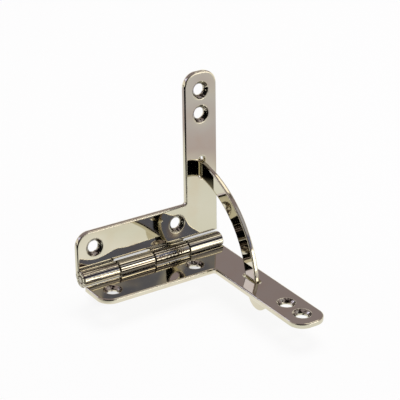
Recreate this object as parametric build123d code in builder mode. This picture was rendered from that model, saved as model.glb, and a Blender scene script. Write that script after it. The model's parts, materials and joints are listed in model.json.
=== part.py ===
from build123d import *
from math import asin, cos, degrees, radians, sin, sqrt
import os

# A quadrant hinge for a small box: two L-shaped sheet leaves with rolled knuckles, the pin
# through them, and a curved stay that slides through a slot in each leaf's arm and stops
# the lid just past upright. Millimetres and degrees.

# Sheet and barrel
leaf_t = 1.2             # thickness of the sheet that both leaves are pressed from
pin_d = 1.6
pin_grip = 0.01          # the box leaf's knuckles are this much tighter than the pin, each side
pin_play = 0.07          # the lid leaf's knuckles are this much wider than the pin, each side
pin_bevel = 0.15
barrel_length = 38.0     # along the pin, and the full width of both leaves
knuckle_count = 4
knuckle_gap = 0.32       # between neighbouring knuckles
roll_seam = 0.3          # where the rolled end comes back down to the sheet
barrel_end_round = 0.4
knuckle_round = 0.12
notch_reach = 2.2        # pin axis to where the sheet is cut away for the other leaf's knuckle
notch_round = 0.2

# Outline of a leaf, from the pin axis
flange_depth = 10.6
arm_length = 42.3
arm_w = 8.6
flange_corner_r = 3.4
arm_corner_r = 3.4
inner_corner_r = 0.6
edge_round = 0.3         # on the inner face, which shows when the box is open
back_round = 0.12        # on the outer face, which seats in the box

# Countersunk holes, on the inner face
hole_d = 2.7
head_d = 4.2
head_angle = 90
rim_round = 0.15
flange_hole_inset = 4.6      # from the barrel's left end
flange_hole_spacing = 22.1
flange_hole_reach = 6.5      # pin axis to the flange's holes
arm_hole_inset = 4.4         # from the arm's end
arm_hole_spacing = 5.7

# Stay: a flat crescent blade that stands across the pin, with a rounded stop at each end
open_angle = 92.6        # between the leaves when the stops meet them
stay_t = 1.15
stay_w = 3.9
stay_r = 24.5            # of the blade's centreline
stay_reach = 19.0        # pin axis to where the centreline passes through each arm
stay_inset = 4.1         # from the arm's outer edge to the middle of the slot
stay_slip = 0.4          # the loose blade has slid this far down its slots
stay_round = 0.2
slot_end_play = 1.5      # a slot is this much longer than the blade is wide
slot_side_play = 0.25    # room on each side of the blade
slot_bevel = 0.18
stop_r = 3.4
stop_out = 2.1           # the stop's centre stands this far outside the blade's centreline
stop_depth = 1.75        # the stop's centre, beyond the leaf's outer face
stop_gap = 0.36          # the stop's flat, from the leaf's outer face

# Worked out from them
pin_r = pin_d / 2
barrel_r = pin_r + leaf_t
knuckle_pitch = barrel_length / knuckle_count
half_open = open_angle / 2
tiny = 0.01

# The leaf frame has its origin on the pin axis at the barrel's left end, with the leaf flat
# along -Y and its inner face up. The part's own origin is midway between the flange's two
# screw holes, on the face of the box leaf that seats in the box.
left_end = -(flange_hole_inset + flange_hole_spacing / 2)
pin_end = Plane(origin=(left_end, flange_hole_reach, barrel_r))
outer_face = pin_end.offset(-barrel_r)
inner_face = pin_end.offset(leaf_t - barrel_r)

lid_knuckles = range(0, knuckle_count, 2)
box_knuckles = range(1, knuckle_count, 2)


def across_pin(x):
    """Plane square to the pin, x from the barrel's left end, with its own x along +Y."""
    return Plane(origin=pin_end.origin + Vector(x, 0, 0), x_dir=(0, 1, 0), z_dir=(1, 0, 0))


def knuckle_span(number):
    """Start and end of a knuckle along the pin, with half a gap left at each neighbour."""
    start = number * knuckle_pitch + (knuckle_gap / 2 if number > 0 else 0)
    end = (number + 1) * knuckle_pitch - (knuckle_gap / 2 if number < knuckle_count - 1 else 0)
    return start, end


def roll_knuckle(number, bore_r):
    """Sheet rolled round the pin, from under it over the back to a seam above the leaf."""
    start, end = knuckle_span(number)
    with BuildSketch(across_pin(start)) as section:
        Circle(barrel_r)
        Circle(bore_r, mode=Mode.SUBTRACT)
        with Locations((0, leaf_t - barrel_r + roll_seam)):
            Rectangle(2 * barrel_r, 2 * barrel_r, align=(Align.MAX, Align.MAX), mode=Mode.SUBTRACT)
    with BuildPart(mode=Mode.PRIVATE) as roll:
        extrude(section.sketch, amount=end - start)
        rims = roll.edges().filter_by(GeomType.CIRCLE).filter_by(lambda edge: edge.radius > pin_r + tiny)
        low_rims = rims.group_by(Axis.X)[0]
        high_rims = rims.group_by(Axis.X)[-1]
        fillet(low_rims, radius=barrel_end_round if number == 0 else knuckle_round)
        fillet(high_rims, radius=barrel_end_round if number == knuckle_count - 1 else knuckle_round)
    add(roll.part)


def press_sheet(knuckles):
    """The flat L of a leaf with a tongue to each of its knuckles, and its edges rounded."""
    inner_x = barrel_length - arm_w
    with BuildSketch(outer_face) as blank:
        with BuildLine():
            edge = FilletPolyline(
                (0, -notch_reach), (0, -flange_depth), (inner_x, -flange_depth), (inner_x, -arm_length),
                (barrel_length, -arm_length), (barrel_length, -notch_reach),
                radius=[flange_corner_r, inner_corner_r, arm_corner_r, arm_corner_r])
            Line(edge @ 1, edge @ 0)
        make_face()
        for number in knuckles:
            start, end = knuckle_span(number)
            with Locations((start, -notch_reach)):
                Rectangle(end - start, notch_reach, align=(Align.MIN, Align.MIN))
    with BuildPart(mode=Mode.PRIVATE) as sheet:
        extrude(blank.sketch, amount=leaf_t)
        notch_y = flange_hole_reach - notch_reach
        inner_edges = sheet.faces().sort_by(Axis.Z)[-1].edges()
        outer_edges = sheet.faces().sort_by(Axis.Z)[0].edges()
        fillet(inner_edges.filter_by(lambda edge: edge.center().Y < notch_y - tiny), radius=edge_round)
        fillet(outer_edges.filter_by(lambda edge: edge.center().Y < notch_y - tiny), radius=back_round)
    add(sheet.part)


def round_notches(knuckles):
    """Round the inner edge of each notch that clears the other leaf's knuckles."""
    for number in knuckles:
        start, end = knuckle_span(number)
        with BuildSketch(across_pin(start)) as corner:
            with Locations((-notch_reach, leaf_t - barrel_r)):
                Rectangle(notch_round, notch_round, align=(Align.MAX, Align.MAX))
            with Locations((-notch_reach - notch_round, leaf_t - barrel_r - notch_round)):
                Circle(notch_round, mode=Mode.SUBTRACT)
        extrude(corner.sketch, amount=end - start, mode=Mode.SUBTRACT)


def ream_bore(bore_r):
    """Clear the pin's bore from end to end of the barrel."""
    with BuildSketch(across_pin(0)) as bore:
        Circle(bore_r)
    extrude(bore.sketch, amount=barrel_length, mode=Mode.SUBTRACT)


def sink_holes():
    """Two countersunk screw holes in the flange and two in the arm."""
    flange_holes = [(flange_hole_inset + step * flange_hole_spacing, -flange_hole_reach) for step in (0, 1)]
    arm_x = barrel_length - arm_w / 2
    arm_holes = [(arm_x, -arm_length + arm_hole_inset + step * arm_hole_spacing) for step in (0, 1)]
    with Locations(inner_face):
        with Locations(flange_holes + arm_holes):
            CounterSinkHole(hole_d / 2, head_d / 2, depth=2 * leaf_t, counter_sink_angle=head_angle)
    circles = edges().filter_by(GeomType.CIRCLE).filter_by(lambda edge: abs(edge.radius - head_d / 2) < tiny)
    rims = circles.filter_by(lambda edge: abs(edge.arc_center.Z - inner_face.origin.Z) < tiny)
    fillet(rims, radius=rim_round)


def cut_slot():
    """Slot through the arm for the stay, with its rim broken on both faces."""
    length = stay_w + slot_end_play
    width = stay_t + 2 * slot_side_play
    middle = (barrel_length - stay_inset, -stay_reach)
    with BuildSketch(outer_face) as slot:
        with Locations(middle):
            SlotOverall(length, width, rotation=90)
    extrude(slot.sketch, amount=leaf_t, mode=Mode.SUBTRACT)
    for face, inward in ((inner_face, -slot_bevel), (outer_face, slot_bevel)):
        with BuildSketch(face) as rim:
            with Locations(middle):
                SlotOverall(length + 2 * slot_bevel, width + 2 * slot_bevel, rotation=90)
        extrude(rim.sketch, amount=inward, taper=45, mode=Mode.SUBTRACT)


with BuildPart() as box_leaf:
    press_sheet(box_knuckles)
    for number in box_knuckles:
        roll_knuckle(number, pin_r - pin_grip)
    round_notches(lid_knuckles)
    ream_bore(pin_r - pin_grip)
    sink_holes()
    cut_slot()

# The open lid leaf is the box leaf's shape mirrored in the plane that halves the open angle,
# with its knuckles in the other two places.
halving = Plane(
    origin=pin_end.origin, x_dir=(1, 0, 0),
    z_dir=(0, sin(radians(half_open)), cos(radians(half_open))))

with BuildPart() as lid_leaf:
    press_sheet(lid_knuckles)
    for number in lid_knuckles:
        roll_knuckle(number, pin_r + pin_play)
    round_notches(box_knuckles)
    ream_bore(pin_r + pin_play)
    sink_holes()
    cut_slot()
    mirror(about=halving, mode=Mode.REPLACE)

with BuildPart() as hinge_pin:
    with BuildSketch(across_pin(0)):
        Circle(pin_r)
    extrude(amount=barrel_length)
    chamfer(hinge_pin.edges().filter_by(GeomType.CIRCLE), length=pin_bevel)

# The stay is drawn in a plane square to the pin whose x runs out along the halving plane and
# whose y runs down to the box leaf. Its centreline passes through both arms at half their
# thickness, and its stops are rounds cut flat where they meet the leaves' outer faces.
half_cos = cos(radians(half_open))
half_sin = sin(radians(half_open))
half_thick = barrel_r - leaf_t / 2
cross_out = stay_reach * half_cos - half_thick * half_sin
cross_side = stay_reach * half_sin + half_thick * half_cos
arc_centre = cross_out - sqrt(stay_r ** 2 - cross_side ** 2)
stop_r_from_arc = stay_r + stop_out
stop_angle = half_open + degrees(asin((barrel_r + stop_depth + arc_centre * half_sin) / stop_r_from_arc))
flat_level = barrel_r + stop_gap
blade_end_level = (flat_level + barrel_r + stop_depth) / 2
blade_angle = half_open + degrees(asin((blade_end_level + arc_centre * half_sin) / stay_r))

slip = Vector(0, -half_sin, -half_cos) * stay_slip
stay_plane = Plane(
    origin=pin_end.origin + Vector(barrel_length - stay_inset - stay_t / 2, 0, 0) + slip,
    x_dir=(0, -half_cos, half_sin), z_dir=(1, 0, 0))

with BuildPart() as quadrant_stay:
    with BuildSketch(stay_plane) as profile:
        for side in (-1, 1):
            # A round, faired into the end of the blade on the side away from the leaf
            with BuildSketch(Plane.XY, mode=Mode.PRIVATE) as stop:
                with Locations((arc_centre, 0)):
                    with PolarLocations(stop_r_from_arc, 1, start_angle=side * stop_angle):
                        Circle(stop_r)
                    with PolarLocations(stay_r, 1, start_angle=side * blade_angle):
                        Circle(stay_w / 2)
                make_hull()
                with Locations(Location((0, 0, 0), (0, 0, side * half_open))):
                    with Locations((0, side * flat_level)):
                        toward_leaf = Align.MAX if side > 0 else Align.MIN
                        Rectangle(
                            4 * stay_r, flat_level + 2 * stop_r, align=(Align.CENTER, toward_leaf),
                            mode=Mode.SUBTRACT)
            add(stop.sketch)
        with BuildLine(mode=Mode.PRIVATE) as centreline:
            CenterArc((arc_centre, 0), stay_r, -blade_angle, 2 * blade_angle)
        SlotArc(centreline.line.edge(), stay_w)
    extrude(amount=stay_t)
    flats = quadrant_stay.faces().filter_by(Axis.X)
    fillet(flats.edges(), radius=stay_round)

box_leaf.part.label = "box_leaf"
lid_leaf.part.label = "lid_leaf"
hinge_pin.part.label = "hinge_pin"
quadrant_stay.part.label = "quadrant_stay"

os.makedirs("parts", exist_ok=True)
export_step(box_leaf.part, "parts/box_leaf.step")
export_step(lid_leaf.part, "parts/lid_leaf.step")
export_step(hinge_pin.part, "parts/hinge_pin.step")
export_step(quadrant_stay.part, "parts/quadrant_stay.step")
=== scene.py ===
import json
import math

import bpy
from mathutils import Matrix, Vector


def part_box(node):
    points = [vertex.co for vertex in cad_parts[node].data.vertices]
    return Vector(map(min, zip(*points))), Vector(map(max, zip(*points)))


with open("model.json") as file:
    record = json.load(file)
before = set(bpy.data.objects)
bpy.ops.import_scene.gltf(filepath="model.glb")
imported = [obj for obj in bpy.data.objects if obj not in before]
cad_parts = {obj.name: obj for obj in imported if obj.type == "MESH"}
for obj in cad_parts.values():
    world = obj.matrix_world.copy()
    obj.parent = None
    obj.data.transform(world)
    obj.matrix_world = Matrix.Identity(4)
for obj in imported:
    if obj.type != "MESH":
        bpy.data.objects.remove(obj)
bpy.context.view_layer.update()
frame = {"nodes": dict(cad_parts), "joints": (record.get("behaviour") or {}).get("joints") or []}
nodes = frame["nodes"]
pin_axis = Vector(next(joint["pos_m"] for joint in frame["joints"] if joint["name"] == "lid_turn"))

# Box leaf
# An L pressed from 1.2 mm brass sheet, with two knuckles rolled round the pin. It was tumbled,
# buffed on its faces and then nickel-plated, so it is a mirror with faint waves and hairlines.

NICKEL = (0.635, 0.595, 0.465, 1)
NICKEL_WARM = (0.63, 0.56, 0.42, 1)
# painted dark: painted shade in the countersinks and painted dark lines mirrored on the barrel
PAINTED_DARK = (0.040, 0.024, 0.016, 1)
GLOSS = 0.035               # roughness of a clean face
HAIRLINE_GLOSS = 0.13       # roughness where hairlines cross it
EDGE_WEAR = 0.0005          # how far in from an edge the buffing has rounded the face
HEIGHT_UNIT = 0.00001       # metres that a bump height of 1 stands for


def new_group(name, inputs, outputs):
    """An empty node group with its named sockets, and its input and output nodes."""
    group = bpy.data.node_groups.new(name, "ShaderNodeTree")
    for label, kind, value in inputs:
        socket = group.interface.new_socket(label, in_out="INPUT", socket_type="NodeSocket" + kind)
        socket.default_value = value
    for label, kind in outputs:
        group.interface.new_socket(label, in_out="OUTPUT", socket_type="NodeSocket" + kind)
    return group, group.nodes.new("NodeGroupInput"), group.nodes.new("NodeGroupOutput")


def math_node(tree, operation, first, second=None):
    """A Math node; each operand is a number or an output socket."""
    node = tree.nodes.new("ShaderNodeMath")
    node.operation = operation
    for socket, value in zip(node.inputs, (first, second)):
        if isinstance(value, (int, float)):
            socket.default_value = value
        elif value is not None:
            tree.links.new(value, socket)
    return node.outputs[0]


def noise_node(tree, vector, scale, detail=2.0, stretch=(1, 1, 1)):
    """Noise over Object coordinates, stretched along the axes."""
    mapping = tree.nodes.new("ShaderNodeMapping")
    mapping.inputs["Scale"].default_value = stretch
    tree.links.new(vector, mapping.inputs["Vector"])
    noise = tree.nodes.new("ShaderNodeTexNoise")
    noise.inputs["Scale"].default_value = scale
    noise.inputs["Detail"].default_value = detail
    tree.links.new(mapping.outputs["Vector"], noise.inputs["Vector"])
    return noise.outputs["Fac"]


def map_range(tree, value, low, high, to_low=0.0, to_high=1.0):
    """A clamped smooth step from low to high."""
    node = tree.nodes.new("ShaderNodeMapRange")
    node.interpolation_type = "SMOOTHSTEP"
    tree.links.new(value, node.inputs["Value"])
    for label, number in zip(("From Min", "From Max", "To Min", "To Max"), (low, high, to_low, to_high)):
        node.inputs[label].default_value = number
    return node.outputs["Result"]


# Buffed plate: broad smudges and fine hairlines in the gloss, and the sheet's faint waves
buffed, buffed_in, buffed_out = new_group(
    "buffed_plate",
    [("Vector", "Vector", (0, 0, 0)), ("Waves", "Float", 1.0), ("Hairlines", "Float", 1.0)],
    [("Tone", "Float"), ("Roughness", "Float"), ("Height", "Float")])
buffed_at = buffed_in.outputs["Vector"]
smudges = map_range(buffed, noise_node(buffed, buffed_at, 160, 3.0), 0.45, 0.75)
hairlines_across = noise_node(buffed, buffed_at, 900, 4.0, (1, 0.05, 0.05))
hairlines_along = noise_node(buffed, buffed_at, 1100, 4.0, (0.06, 1, 1))
hairlines = map_range(
    buffed, math_node(buffed, "MAXIMUM", hairlines_across, hairlines_along), 0.62, 0.8)
worn = math_node(buffed, "MULTIPLY", hairlines, buffed_in.outputs["Hairlines"])
gloss = math_node(buffed, "ADD", math_node(buffed, "MULTIPLY", smudges, 0.3), worn)
buffed.links.new(map_range(buffed, gloss, 0.0, 1.3, GLOSS, HAIRLINE_GLOSS), buffed_out.inputs["Roughness"])
buffed.links.new(noise_node(buffed, buffed_at, 220, 2.0), buffed_out.inputs["Tone"])
waves = math_node(buffed, "MULTIPLY", noise_node(buffed, buffed_at, 120, 1.0), buffed_in.outputs["Waves"])
scored = math_node(buffed, "MULTIPLY", worn, -0.0006)
buffed.links.new(math_node(buffed, "ADD", waves, scored), buffed_out.inputs["Height"])


# Rolled barrel: each knuckle was rolled and polished by itself, so its lengthwise flats and fine
# lines are its own; beyond the barrel's radius there are none. They are in the shading only, and their
# pattern is random, picked as the nearest to the photograph's
KNUCKLES = 4
KNUCKLE_SEED = 6.3          # sets the lines of one knuckle apart from the next one's
BARREL_R = 0.002
FLATS = 13.0                # these three are heights in the units of the bump
FINE_LINES = 3.0
SPANGLE = 2.5
barrel_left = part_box("hinge_pin")[0].x
knuckle_length = (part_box("hinge_pin")[1].x - barrel_left) / KNUCKLES
rolled, rolled_in, rolled_out = new_group(
    "rolled_barrel", [("Vector", "Vector", (0, 0, 0))],
    [("Height", "Float"), ("Painted dark", "Float"), ("On barrel", "Float")])
from_pin = rolled.nodes.new("ShaderNodeVectorMath")
from_pin.operation = "SUBTRACT"
from_pin.inputs[1].default_value = (barrel_left, pin_axis.y, pin_axis.z)
rolled.links.new(rolled_in.outputs["Vector"], from_pin.inputs[0])
rolled_at = rolled.nodes.new("ShaderNodeSeparateXYZ")
rolled.links.new(from_pin.outputs["Vector"], rolled_at.inputs["Vector"])
turn_angle = math_node(rolled, "ARCTAN2", rolled_at.outputs["Z"], rolled_at.outputs["Y"])
pin_distance = math_node(
    rolled, "SQRT", math_node(
        rolled, "ADD", math_node(rolled, "POWER", rolled_at.outputs["Y"], 2.0),
        math_node(rolled, "POWER", rolled_at.outputs["Z"], 2.0)))
knuckle = math_node(rolled, "FLOOR", math_node(rolled, "DIVIDE", rolled_at.outputs["X"], knuckle_length))
own_lines = math_node(rolled, "MULTIPLY", knuckle, KNUCKLE_SEED)
along = math_node(rolled, "MULTIPLY", rolled_at.outputs["X"], 3.0)
lines_at = rolled.nodes.new("ShaderNodeCombineXYZ")
rolled.links.new(math_node(rolled, "ADD", own_lines, along), lines_at.inputs["X"])
rolled.links.new(turn_angle, lines_at.inputs["Y"])
flats = math_node(rolled, "MULTIPLY", noise_node(rolled, lines_at.outputs["Vector"], 4, 0.0), FLATS)
fine_lines = math_node(
    rolled, "MULTIPLY", noise_node(rolled, lines_at.outputs["Vector"], 9, 1.0), FINE_LINES)
on_barrel = map_range(rolled, pin_distance, BARREL_R + 0.0001, BARREL_R + 0.00005)
lines = math_node(rolled, "ADD", flats, fine_lines)
lid_knuckle = math_node(rolled, "SUBTRACT", 1.0, math_node(rolled, "MODULO", knuckle, 2.0))
spangled = math_node(
    rolled, "MULTIPLY", noise_node(rolled, rolled_in.outputs["Vector"], 3200, 0.0),
    math_node(rolled, "MULTIPLY", lid_knuckle, SPANGLE))
relief = math_node(rolled, "ADD", lines, spangled)
rolled.links.new(math_node(rolled, "MULTIPLY", relief, on_barrel), rolled_out.inputs["Height"])
# Painted reflection: dark lengthwise lines painted into the barrel's colour stand for the dark lines the
# polished barrel mirrors
painted_dark_lines = map_range(rolled, noise_node(rolled, lines_at.outputs["Vector"], 5, 1.0), 0.50, 0.54, 0.0, 0.95)
rolled.links.new(math_node(rolled, "MULTIPLY", painted_dark_lines, on_barrel), rolled_out.inputs["Painted dark"])
rolled.links.new(on_barrel, rolled_out.inputs["On barrel"])


# Countersunk holes: in the four screw holes of a leaf, the countersink's chatter marks show under the
# plate, and blotches of painted shade darken them; round each hole the sheet is drawn in to a shallow
# dish, in the shading only, which was inferred from the reflections in the photograph
HOLE_CENTRES = ((-0.01105, 0), (0.01105, 0), (0.01805, -0.0314), (0.01805, -0.0257))
SINK_R = 0.0022
DISH_R = 0.0060             # how far from a hole's centre the sheet is drawn in
CHATTER = 18.0
sunk, sunk_in, sunk_out = new_group(
    "countersunk_holes", [("Vector", "Vector", (0, 0, 0)), ("Dish", "Float", 1.0)],
    [("Height", "Float"), ("Painted dark", "Float")])
level = sunk.nodes.new("ShaderNodeVectorMath")
level.operation = "MULTIPLY"
level.inputs[1].default_value = (1, 1, 0)
sunk.links.new(sunk_in.outputs["Vector"], level.inputs[0])
nearest = dished = None
for hole_x, hole_y in HOLE_CENTRES:
    to_hole = sunk.nodes.new("ShaderNodeVectorMath")
    to_hole.operation = "DISTANCE"
    to_hole.inputs[1].default_value = (hole_x, hole_y, 0)
    sunk.links.new(level.outputs["Vector"], to_hole.inputs[0])
    nearest = to_hole.outputs["Value"] if nearest is None else math_node(
        sunk, "MINIMUM", nearest, to_hole.outputs["Value"])
    inside = math_node(sunk, "MAXIMUM", math_node(sunk, "SUBTRACT", DISH_R, to_hole.outputs["Value"]), 0.0)
    dish = math_node(sunk, "POWER", math_node(sunk, "MULTIPLY", inside, 1 / (DISH_R - SINK_R)), 2.0)
    dished = dish if dished is None else math_node(sunk, "ADD", dished, dish)
in_hole = map_range(sunk, nearest, SINK_R, SINK_R - 0.0001)
chatter = math_node(sunk, "MULTIPLY", noise_node(sunk, sunk_in.outputs["Vector"], 1500, 1.0), CHATTER)
cut = math_node(sunk, "MULTIPLY", in_hole, chatter)
drawn_in = math_node(sunk, "MULTIPLY", dished, sunk_in.outputs["Dish"])
sunk.links.new(math_node(sunk, "SUBTRACT", cut, drawn_in), sunk_out.inputs["Height"])
# Blotches of painted shade darken the countersinks
painted_shade_blotches = map_range(sunk, noise_node(sunk, sunk_in.outputs["Vector"], 1100, 1.0), 0.40, 0.50, 0.9, 0.0)
sunk.links.new(math_node(sunk, "MULTIPLY", in_hole, painted_shade_blotches), sunk_out.inputs["Painted dark"])


def plate_material(name, waves, hairlines, flat=None, dish=0.0):
    """Bright nickel over the buffed metal, with waves and hairlines of the given strength.

    A leaf's flat is the normal of the mirror plane through the pin that lays it down in the box leaf's
    place, where the holes' centres are, and its dish is how deep its holes are drawn in.
    """
    material = bpy.data.materials.new(name)
    material.use_nodes = True
    tree = material.node_tree
    shader = tree.nodes["Principled BSDF"]
    shader.inputs["Metallic"].default_value = 1.0
    at = tree.nodes.new("ShaderNodeTexCoord").outputs["Object"]
    surface = tree.nodes.new("ShaderNodeGroup")
    surface.node_tree = buffed
    surface.inputs["Waves"].default_value = waves
    surface.inputs["Hairlines"].default_value = hairlines
    tree.links.new(at, surface.inputs["Vector"])
    tone = tree.nodes.new("ShaderNodeMix")
    tone.data_type = "RGBA"
    tone.inputs["A"].default_value = NICKEL
    tone.inputs["B"].default_value = NICKEL_WARM
    tree.links.new(map_range(tree, surface.outputs["Tone"], 0.35, 0.85), tone.inputs["Factor"])
    tree.links.new(surface.outputs["Roughness"], shader.inputs["Roughness"])
    barrel = tree.nodes.new("ShaderNodeGroup")
    barrel.node_tree = rolled
    tree.links.new(at, barrel.inputs["Vector"])
    height = math_node(tree, "ADD", surface.outputs["Height"], barrel.outputs["Height"])
    painted_dark = barrel.outputs["Painted dark"]
    if flat is not None:
        laid = at
        if flat != (0, 0, 1):
            to_pin = tree.nodes.new("ShaderNodeVectorMath")
            to_pin.operation = "SUBTRACT"
            to_pin.inputs[1].default_value = (0, pin_axis.y, pin_axis.z)
            tree.links.new(at, to_pin.inputs[0])
            mirrored = tree.nodes.new("ShaderNodeVectorMath")
            mirrored.operation = "REFLECT"
            mirrored.inputs[1].default_value = flat
            tree.links.new(to_pin.outputs["Vector"], mirrored.inputs[0])
            back = tree.nodes.new("ShaderNodeVectorMath")
            back.operation = "ADD"
            back.inputs[1].default_value = (0, pin_axis.y, pin_axis.z)
            tree.links.new(mirrored.outputs["Vector"], back.inputs[0])
            laid = back.outputs["Vector"]
        holes = tree.nodes.new("ShaderNodeGroup")
        holes.node_tree = sunk
        holes.inputs["Dish"].default_value = dish
        tree.links.new(laid, holes.inputs["Vector"])
        height = math_node(tree, "ADD", height, holes.outputs["Height"])
        painted_dark = math_node(tree, "MAXIMUM", painted_dark, holes.outputs["Painted dark"])
    # Painted shade in the countersinks and painted dark lines on the barrel darken the colour
    dark_paint_mix = tree.nodes.new("ShaderNodeMix")
    dark_paint_mix.data_type = "RGBA"
    dark_paint_mix.inputs["B"].default_value = PAINTED_DARK
    tree.links.new(painted_dark, dark_paint_mix.inputs["Factor"])
    tree.links.new(tone.outputs["Result"], dark_paint_mix.inputs["A"])
    tree.links.new(dark_paint_mix.outputs["Result"], shader.inputs["Base Color"])
    worn_edges = tree.nodes.new("ShaderNodeBevel")
    worn_edges.samples = 8
    worn_edges.inputs["Radius"].default_value = EDGE_WEAR
    bump = tree.nodes.new("ShaderNodeBump")
    facing = tree.nodes.new("ShaderNodeMix")
    facing.data_type = "VECTOR"
    tree.links.new(barrel.outputs["On barrel"], facing.inputs["Factor"])
    tree.links.new(worn_edges.outputs["Normal"], facing.inputs[4])
    tree.links.new(tree.nodes.new("ShaderNodeNewGeometry").outputs["Normal"], facing.inputs[5])
    tree.links.new(facing.outputs[1], bump.inputs["Normal"])
    bump.inputs["Strength"].default_value = 1.0
    bump.inputs["Distance"].default_value = HEIGHT_UNIT
    tree.links.new(height, bump.inputs["Height"])
    tree.links.new(bump.outputs["Normal"], shader.inputs["Normal"])
    return material


nodes["box_leaf"].material_slots[0].material = plate_material(
    "box_leaf_plate", waves=6.0, hairlines=0.5, flat=(0, 0, 1), dish=3.5)

# Lid leaf
# The same brass pressing with the other two knuckles, plated in the same bath. It stands up at the
# opening angle, and a mirror plane halfway between the leaves lays its holes in the box leaf's places.

HALF_OPEN = math.radians(92.6 / 2)
nodes["lid_leaf"].material_slots[0].material = plate_material(
    "lid_leaf_plate", waves=8.0, hairlines=0.5, flat=(0, math.sin(HALF_OPEN), math.cos(HALF_OPEN)), dish=8.5)

# Hinge pin
# Drawn brass wire, cut to the barrel's length and pressed into the box leaf's knuckles before the
# hinge was plated, so only its two cut ends show, with more hairlines than a buffed face.

nodes["hinge_pin"].material_slots[0].material = plate_material("pin_wire", waves=0.5, hairlines=1.0)

# Quadrant stay
# A crescent blanked from the same sheet and plated like the leaves. It lies loose in the slots of
# both arms, and sliding through them has left fine rub lines.

nodes["quadrant_stay"].material_slots[0].material = plate_material("stay_plate", waves=0.6, hairlines=0.8)

# Studio
# A round white sheet to lay the hinge on, in a grey room whose wall is white low down. There are
# soft boxes in front and up on the right, a window behind on the left, and the dark round the camera.
# All of these are patches of the sheet's and the world's colour, hidden from the camera, and set by
# direction and place until the metal's faces agreed with the photograph.

FLOOR_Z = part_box("quadrant_stay")[0].z - 0.00005
FLOOR_R = 0.75
FLOOR_SIDES = 96
SHEET_WHITE = (0.9, 0.9, 0.89, 1)
SHEET_SHINE = 0.9           # the camera sees this share as even white, the rest as lit and shadowed paper
SHADOW = 0.4                # how dark the painted patch behind the lid leaf's flange is
ROOM_GREY = (0.325, 0.275, 0.315, 1)
WALL_WHITE = (1.15, 1.12, 1.06, 1)
BLACK = (0.006, 0.006, 0.007, 1)

rim_angles = [2 * math.pi * step / FLOOR_SIDES for step in range(FLOOR_SIDES)]
rim = [(FLOOR_R * math.cos(angle), FLOOR_R * math.sin(angle), FLOOR_Z) for angle in rim_angles]
floor_mesh = bpy.data.meshes.new("floor")
floor_mesh.from_pydata(rim, [], [range(FLOOR_SIDES)])
floor = bpy.data.objects.new("floor", floor_mesh)
bpy.context.scene.collection.objects.link(floor)

sheet = bpy.data.materials.new("white_sheet")
sheet.use_nodes = True
floor_mesh.materials.append(sheet)
tree = sheet.node_tree
tree.nodes.remove(tree.nodes["Principled BSDF"])
paper = tree.nodes.new("ShaderNodeBsdfDiffuse")
paper.inputs["Color"].default_value = SHEET_WHITE
floor_at = tree.nodes.new("ShaderNodeTexCoord").outputs["Object"]
place = tree.nodes.new("ShaderNodeSeparateXYZ")
tree.links.new(floor_at, place.inputs["Vector"])
# The metal mirrors a painted pool of light on the sheet: white under it, greyer further out, and the white
# wall at last
reach = tree.nodes.new("ShaderNodeVectorMath")
reach.operation = "LENGTH"
tree.links.new(floor_at, reach.inputs[0])
painted_light_pool = tree.nodes.new("ShaderNodeValToRGB")
tree.links.new(reach.outputs["Value"], painted_light_pool.inputs["Fac"])
painted_light_pool.color_ramp.elements[0].position = 0.018
painted_light_pool.color_ramp.elements[0].color = (1.12, 1.12, 1.15, 1)
painted_light_pool.color_ramp.elements[1].position = 0.092
painted_light_pool.color_ramp.elements[1].color = (0.63, 0.56, 0.62, 1)
for position, colour in (
        (0.030, (0.96, 0.98, 0.95, 1)), (0.050, (1.0, 1.02, 1.03, 1)), (0.072, (0.95, 0.97, 0.96, 1)),
        (0.125, (0.67, 0.64, 0.73, 1)), (0.175, (0.77, 0.78, 0.83, 1)), (0.26, WALL_WHITE)):
    painted_light_pool.color_ramp.elements.new(position).color = colour
# Painted shade makes the mirrored sheet darker on the near left
near_left = math_node(
    tree, "ADD", math_node(tree, "MULTIPLY", place.outputs["X"], -0.866),
    math_node(tree, "MULTIPLY", place.outputs["Y"], -0.5))
near_left_painted_shading = map_range(tree, near_left, 0.018, 0.040, 1.0, 0.0)
# and painted shade makes it darker behind on the right
shade = tree.nodes.new("ShaderNodeVectorMath")
shade.operation = "DISTANCE"
shade.inputs[1].default_value = (0.045, 0.037, 0)
tree.links.new(floor_at, shade.inputs[0])
behind_right_painted_shading = map_range(tree, shade.outputs["Value"], 0.018, 0.028, 0.2, 1.0)
# A soft grey patch painted on the sheet behind the lid leaf's flange darkens what the photograph's view
# shows through the openings over the knuckles. No lamp throws it, its sides run along that view's line
# of sight, and it stays where it is when the lid turns
behind = math_node(
    tree, "MULTIPLY", map_range(tree, place.outputs["Y"], 0.004, 0.013),
    map_range(tree, place.outputs["Y"], 0.0290, 0.0240))
sheared = math_node(
    tree, "SUBTRACT", place.outputs["X"], math_node(tree, "MULTIPLY", place.outputs["Y"], 0.686))
beside = math_node(
    tree, "MULTIPLY", map_range(tree, sheared, -0.0200, -0.0110), map_range(tree, sheared, 0.0185, 0.0150))
shadow = math_node(tree, "MULTIPLY", math_node(tree, "MULTIPLY", behind, beside), SHADOW)
rays = tree.nodes.new("ShaderNodeLightPath")
seen = tree.nodes.new("ShaderNodeMix")
seen.data_type = "RGBA"
seen.inputs["B"].default_value = (1, 1, 1, 1)
tree.links.new(rays.outputs["Is Camera Ray"], seen.inputs["Factor"])
shaded = tree.nodes.new("ShaderNodeVectorMath")
shaded.operation = "SCALE"
tree.links.new(painted_light_pool.outputs["Color"], shaded.inputs[0])
tree.links.new(math_node(tree, "MULTIPLY", near_left_painted_shading, behind_right_painted_shading), shaded.inputs["Scale"])
tree.links.new(shaded.outputs["Vector"], seen.inputs["A"])
glow = tree.nodes.new("ShaderNodeEmission")
tree.links.new(seen.outputs["Result"], glow.inputs["Color"])
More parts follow.
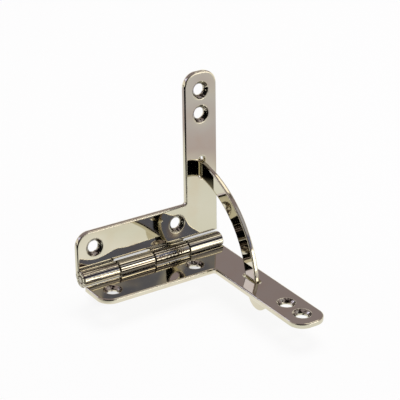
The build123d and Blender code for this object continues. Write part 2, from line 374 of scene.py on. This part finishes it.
tree.links.new(math_node(tree, "SUBTRACT", 1.0, shadow), glow.inputs["Strength"])
shown = math_node(
    tree, "MAXIMUM", math_node(tree, "MULTIPLY", rays.outputs["Is Camera Ray"], SHEET_SHINE),
    rays.outputs["Is Glossy Ray"])
both = tree.nodes.new("ShaderNodeMixShader")
tree.links.new(shown, both.inputs["Fac"])
tree.links.new(paper.outputs["BSDF"], both.inputs[1])
tree.links.new(glow.outputs["Emission"], both.inputs[2])
tree.links.new(both.outputs["Shader"], tree.nodes["Material Output"].inputs["Surface"])

world = bpy.data.worlds.new("studio")
world.use_nodes = True
bpy.context.scene.world = world
tree = world.node_tree
toward = tree.nodes.new("ShaderNodeTexCoord").outputs["Generated"]
split = tree.nodes.new("ShaderNodeSeparateXYZ")
tree.links.new(toward, split.inputs["Vector"])
room = tree.nodes.new("ShaderNodeValToRGB")
tree.links.new(split.outputs["Z"], room.inputs["Fac"])
room.color_ramp.elements[0].position = 0.0
room.color_ramp.elements[0].color = WALL_WHITE
room.color_ramp.elements[1].position = math.sin(math.radians(17))
room.color_ramp.elements[1].color = ROOM_GREY
room.color_ramp.elements.new(math.sin(math.radians(12))).color = WALL_WHITE


def soft_box(azimuth, elevation, inner, outer):
    """How much of a round light shows, fading from its inner to its outer radius; all in degrees."""
    azimuth, elevation = math.radians(azimuth), math.radians(elevation)
    facing = tree.nodes.new("ShaderNodeVectorMath")
    facing.operation = "DOT_PRODUCT"
    tree.links.new(toward, facing.inputs[0])
    facing.inputs[1].default_value = (
        math.sin(azimuth) * math.cos(elevation), math.cos(azimuth) * math.cos(elevation), math.sin(elevation))
    return map_range(
        tree, facing.outputs["Value"], math.cos(math.radians(outer)), math.cos(math.radians(inner)), 0.0, 1.0)


def add_light(under, shape, colour):
    """A light of one colour over what is already there."""
    light = tree.nodes.new("ShaderNodeMix")
    light.data_type = "RGBA"
    light.clamp_factor = False
    tree.links.new(shape, light.inputs["Factor"])
    tree.links.new(under, light.inputs["A"])
    light.inputs["B"].default_value = colour
    return light.outputs["Result"]


light = room.outputs["Color"]
for azimuth, elevation, inner, outer, colour in (
        (147, 4, 12, 15, (3.0, 2.9, 2.8, 1)),           # low soft box in front
        (143, 45, 14, 18, (0.48, 0.48, 0.56, 1)),       # bluer wall above it
        (151, 27, 7, 10, (0.18, 0.20, 0.34, 1)),        # gap between them
        (-142, 22, 34, 44, BLACK),                      # the dark round the camera
        (80, 60, 12, 15, (1.7, 1.6, 1.45, 1)),          # high soft box on the right
        (104, 60, 3, 5, (0.10, 0.09, 0.09, 1)),         # small dark spot beside it
        (-37, 28, 9, 12, (1.35, 1.36, 2.0, 1))):        # window behind on the left
    light = add_light(light, soft_box(azimuth, elevation, inner, outer), colour)
rays = tree.nodes.new("ShaderNodeLightPath")
backdrop = tree.nodes.new("ShaderNodeMix")
backdrop.data_type = "RGBA"
tree.links.new(rays.outputs["Is Camera Ray"], backdrop.inputs["Factor"])
tree.links.new(light, backdrop.inputs["A"])
backdrop.inputs["B"].default_value = (1, 1, 1, 1)
tree.links.new(backdrop.outputs["Result"], tree.nodes["Background"].inputs["Color"])

# One soft lamp lights the sheet, and the metal mirrors only the room's lights
lamp_data = bpy.data.lights.new("soft_lamp", "AREA")
lamp_data.shape = "DISK"
lamp_data.size = 0.5
lamp_data.energy = 2.5
lamp = bpy.data.objects.new("soft_lamp", lamp_data)
bpy.context.scene.collection.objects.link(lamp)
lamp.location = (0.15, 0.05, 0.6)
lamp.rotation_euler = (lamp.location * -1).to_track_quat("-Z", "Y").to_euler()
lamp.visible_glossy = False

# Camera
# It stands above the barrel's left end and a third of a metre away, with a long lens, tipped a little
# to one side.

CAMERA_AZIMUTH = math.radians(34.47)
CAMERA_ELEVATION = math.radians(25.51)
CAMERA_ROLL = math.radians(0.87)
CAMERA_DISTANCE = 0.34329
AIM = pin_axis + Vector((-0.01565 + 0.022, -0.010, 0.015))
ASIDE = (-0.00288, -0.00298)    # the aim point's place in the camera's own right and up
LENS = 1539.99 / 400 * 36

forward = Vector((
    math.sin(CAMERA_AZIMUTH) * math.cos(CAMERA_ELEVATION),
    math.cos(CAMERA_AZIMUTH) * math.cos(CAMERA_ELEVATION),
    -math.sin(CAMERA_ELEVATION)))
level_right = Vector((math.cos(CAMERA_AZIMUTH), -math.sin(CAMERA_AZIMUTH), 0))
level_up = level_right.cross(forward)
right = math.cos(CAMERA_ROLL) * level_right + math.sin(CAMERA_ROLL) * level_up
up = -math.sin(CAMERA_ROLL) * level_right + math.cos(CAMERA_ROLL) * level_up
camera_data = bpy.data.cameras.new("camera")
camera_data.sensor_width = 36
camera_data.lens = LENS
camera_data.clip_start = 0.01
camera = bpy.data.objects.new("camera", camera_data)
bpy.context.scene.collection.objects.link(camera)
turn = Matrix((right, up, -forward)).transposed().to_4x4()
stand = AIM - ASIDE[0] * right - ASIDE[1] * up - CAMERA_DISTANCE * forward
camera.matrix_world = Matrix.Translation(stand) @ turn
bpy.context.scene.camera = camera
bpy.context.scene.view_settings.view_transform = "Standard"
